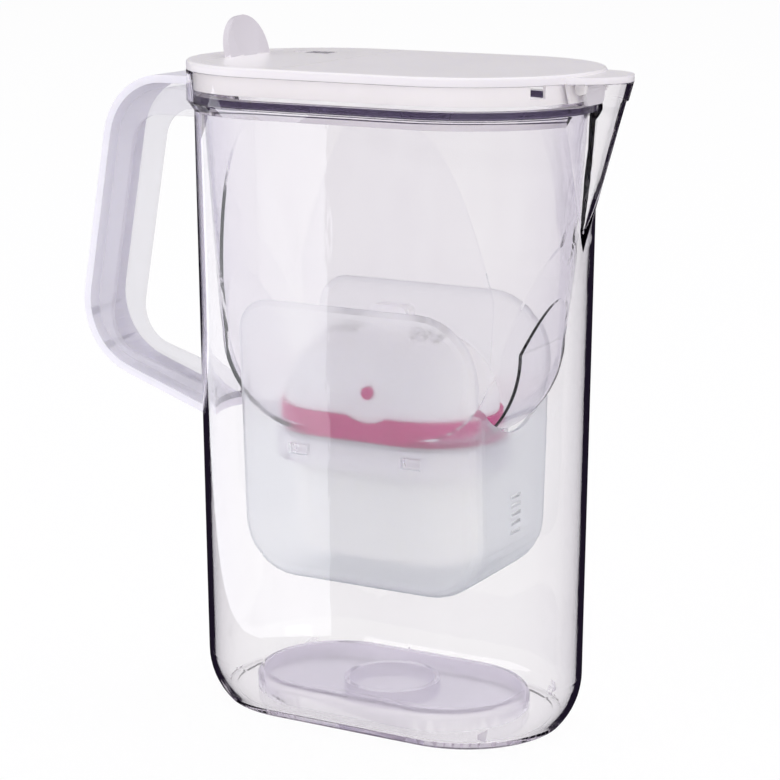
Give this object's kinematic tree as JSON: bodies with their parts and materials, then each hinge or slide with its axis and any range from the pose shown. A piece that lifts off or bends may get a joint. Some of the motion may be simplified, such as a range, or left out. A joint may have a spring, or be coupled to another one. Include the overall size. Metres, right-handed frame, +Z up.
{
  "type": "water filter pitcher",
  "caption": "Clear oval water filter pitcher with a channel handle, beak spout, lift-out hopper and cartridge, and a lid with a thumb-operated filling flap.",
  "frame": {"origin": "on the table under the centre of the whole pitcher", "axes": "+Z up, +X towards the spout, the handle at -X, Y across the jug"},
  "size_m": [0.2475, 0.108, 0.2845],
  "materials": {
    "clear_plastic": "gloss",
    "grip_plastic": "satin",
    "frosted_plastic": "satin",
    "white_plastic": "satin",
    "pink_plastic": "satin",
    "seal_rubber": "matte",
    "mesh_plastic": "matte",
    "filter_granules": "matte",
    "window_plastic": "gloss",
    "display_glass": "gloss",
    "circuit_board": "satin",
    "cell_steel": "satin"
  },
  "bodies": {
    "jug_body": {"jug": "clear_plastic", "handle_grip": "grip_plastic"},
    "hopper_body": {"hopper": "clear_plastic", "filter_housing": "frosted_plastic"},
    "cartridge": {"cartridge_cup": "white_plastic", "cartridge_cap": "white_plastic", "cartridge_band": "pink_plastic", "cartridge_seal": "seal_rubber", "inlet_mesh": "mesh_plastic", "outlet_mesh": "mesh_plastic", "filter_media": "filter_granules", "vent_plug": "pink_plastic"},
    "lid": {"lid_base": "white_plastic"},
    "flap": {"fill_flap": "white_plastic", "reminder_case": "white_plastic", "reminder_window": "window_plastic", "reminder_display": "display_glass", "reminder_board": "circuit_board", "coin_cell": "cell_steel", "battery_door": "white_plastic"},
    "gate": {"pour_gate": "white_plastic"},
    "button": {"reset_button": "white_plastic"}
  },
  "joints": [
    {"name": "hopper_lift", "type": "slide", "parent": "jug_body", "child": "hopper_body", "axis": [0, 0, 1], "range_m": [0, 0.21]},
    {"name": "cartridge_lift", "type": "slide", "parent": "hopper_body", "child": "cartridge", "axis": [0, 0, 1], "range_m": [0, 0.2]},
    {"name": "lid_lift", "type": "slide", "parent": "cartridge", "child": "lid", "axis": [0, 0, 1], "range_m": [0, 0.06]},
    {"name": "flap_hinge", "type": "hinge", "parent": "lid", "child": "flap", "pos_m": [-0.04925, 0, 0.2664], "axis": [0, -1, 0], "range_deg": [0, 50]},
    {"name": "gate_hinge", "type": "hinge", "parent": "lid", "child": "gate", "pos_m": [0.10835, 0, 0.2623], "axis": [0, -1, 0], "range_deg": [0, 60]},
    {"name": "button_press", "type": "slide", "parent": "flap", "child": "button", "axis": [0, 0, -1], "range_m": [0, 0.0008], "stiffness_N_per_m": 600, "springref_m": -0.0003}
  ]
}
